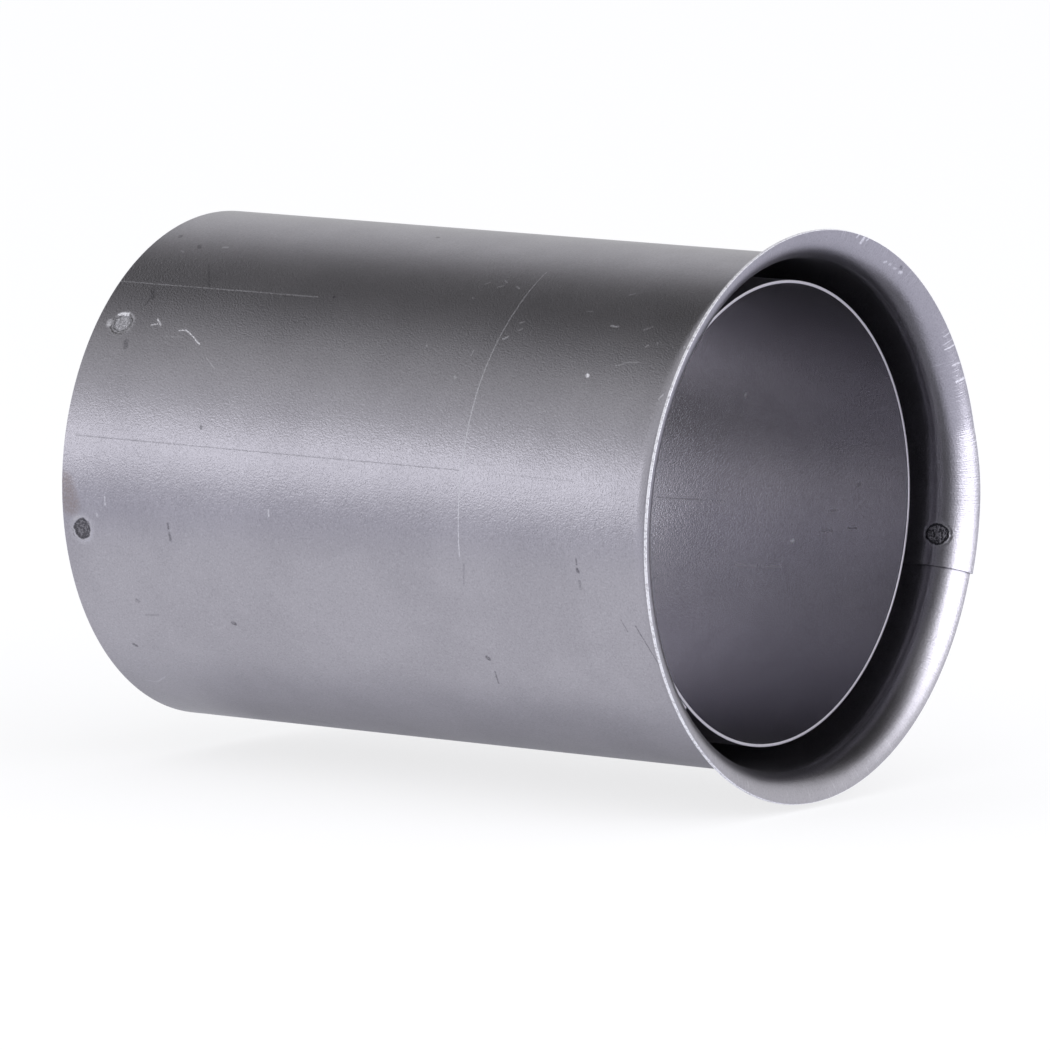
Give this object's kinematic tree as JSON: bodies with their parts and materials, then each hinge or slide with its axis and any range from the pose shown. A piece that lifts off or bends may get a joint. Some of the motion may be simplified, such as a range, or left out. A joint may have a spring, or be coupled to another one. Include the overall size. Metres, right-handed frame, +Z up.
{
  "type": "wall vent sleeve",
  "caption": "Double-walled rolled steel sleeve with a flared lip, set in a wall to line the hole for a round flue pipe.",
  "frame": {"origin": "on the sleeve's axis where the straight outer tube ends and the lip starts, at the mouth of the hole in the wall", "axes": "+X along the axis out of the mouth into the room, +Z up, +Y across; the sleeve lies level, as it is set in a wall"},
  "size_m": [0.2472, 0.1881, 0.1882],
  "materials": {
    "outer_sheet": "bare cold-rolled steel sheet, satin, lightly scratched",
    "inner_sheet": "bare cold-rolled steel sheet, satin",
    "strap_sheet": "bare cold-rolled steel strip, satin"
  },
  "bodies": {
    "root": {"outer_tube": "outer_sheet", "inner_tube": "inner_sheet", "strap_1": "strap_sheet", "strap_2": "strap_sheet", "strap_3": "strap_sheet"}
  },
  "joints": []
}
